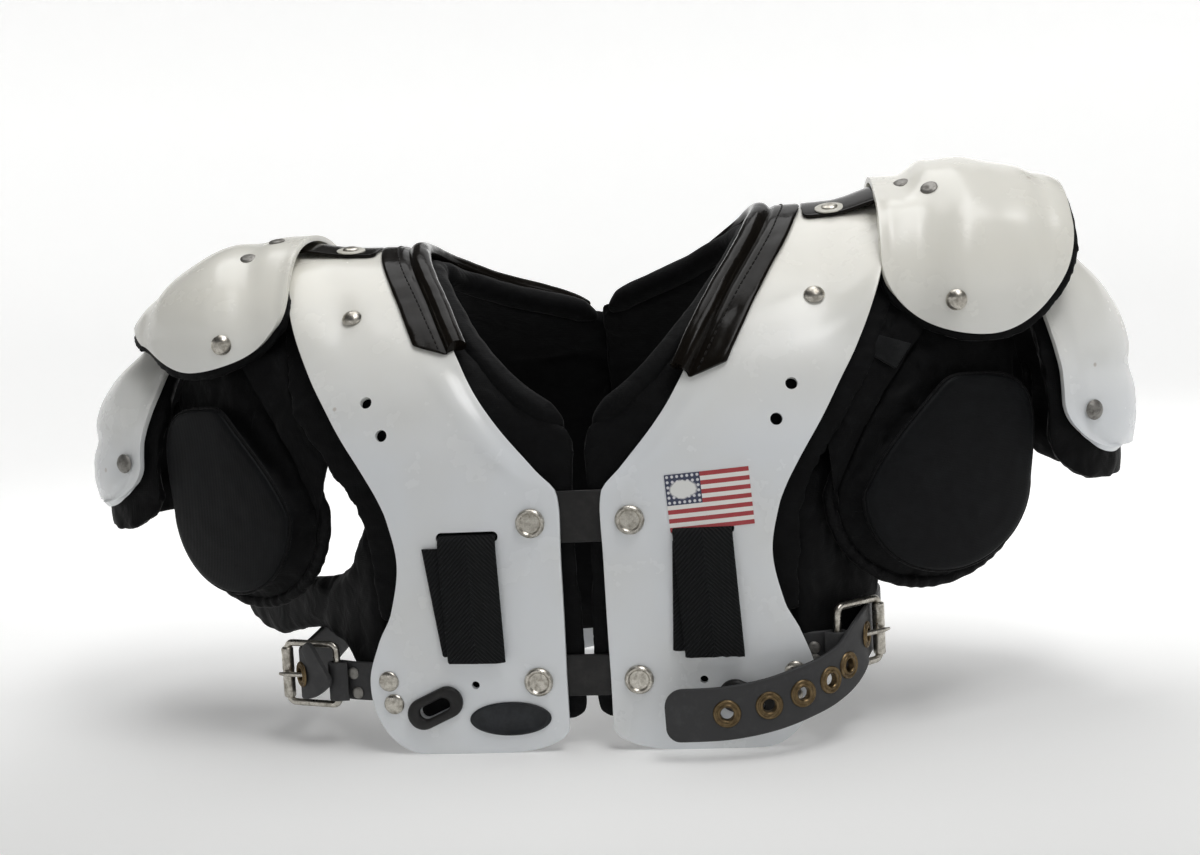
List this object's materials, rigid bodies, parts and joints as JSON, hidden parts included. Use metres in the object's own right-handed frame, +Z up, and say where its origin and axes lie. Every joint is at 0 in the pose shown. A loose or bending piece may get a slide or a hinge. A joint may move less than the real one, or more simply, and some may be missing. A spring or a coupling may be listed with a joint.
{
  "type": "football shoulder pads",
  "caption": "Shoulder pads with white moulded arches over black padding, joined by bars, with hinged shoulder caps, arm caps, padded arm flaps, chest webbing and buckled side belts.",
  "frame": {"origin": "centre of the bounding box at floor level, under the lower edges of the plates", "axes": "+X towards the wearer's left shoulder, -Y the chest side, +Z up"},
  "size_m": [0.58, 0.2361, 0.2893],
  "materials": {
    "white_plate": "glossy, slightly translucent moulded polyethylene",
    "black_cloth": "black nylon cloth over foam",
    "neck_vinyl": "shiny dark vinyl with stitched edges",
    "webbing": "black herringbone webbing",
    "belt_vinyl": "satin dark grey vinyl",
    "nickel": "worn nickel plate",
    "dark_bar": "satin dark grey plastic"
  },
  "bodies": {
    "root": {"arch_plate_left": "white_plate", "body_pad_left": "black_cloth", "neck_trim_left": "neck_vinyl", "shoulder_strap_left": "neck_vinyl", "shoulder_cap_left": "white_plate", "cap_lining_left": "black_cloth", "arm_cap_left": "white_plate", "arm_pad_left": "black_cloth", "arm_strap_left": "webbing", "deltoid_pad_left": "black_cloth", "deltoid_strap_left": "black_cloth", "side_pad_left": "black_cloth", "chest_webbing_left": "webbing", "chest_webbing_under_left": "webbing", "slot_guard_left": "dark_bar", "side_belt_left": "belt_vinyl", "buckle_frame_left": "nickel", "buckle_prong_left": "nickel", "buckle_tab_left": "belt_vinyl", "bar_rivet_upper_left": "nickel", "bar_rivet_lower_left": "nickel", "plate_rivet_left": "nickel", "corner_rivet_upper_left": "nickel", "corner_rivet_lower_left": "nickel", "cap_rivet_left": "nickel", "arm_rivet_left": "nickel", "arch_plate_right": "white_plate", "body_pad_right": "black_cloth", "neck_trim_right": "neck_vinyl", "shoulder_strap_right": "neck_vinyl", "shoulder_cap_right": "white_plate", "cap_lining_right": "black_cloth", "arm_cap_right": "white_plate", "arm_pad_right": "black_cloth", "arm_strap_right": "webbing", "deltoid_pad_right": "black_cloth", "deltoid_strap_right": "black_cloth", "side_pad_right": "black_cloth", "chest_webbing_right": "webbing", "chest_webbing_under_right": "webbing", "slot_guard_right": "dark_bar", "side_belt_right": "belt_vinyl", "buckle_frame_right": "nickel", "buckle_prong_right": "nickel", "buckle_tab_right": "belt_vinyl", "bar_rivet_upper_right": "nickel", "bar_rivet_lower_right": "nickel", "plate_rivet_right": "nickel", "corner_rivet_upper_right": "nickel", "corner_rivet_lower_right": "nickel", "cap_rivet_right": "nickel", "arm_rivet_right": "nickel", "front_bar_upper": "dark_bar", "front_bar_lower": "dark_bar", "back_bar": "dark_bar"}
  },
  "joints": []
}
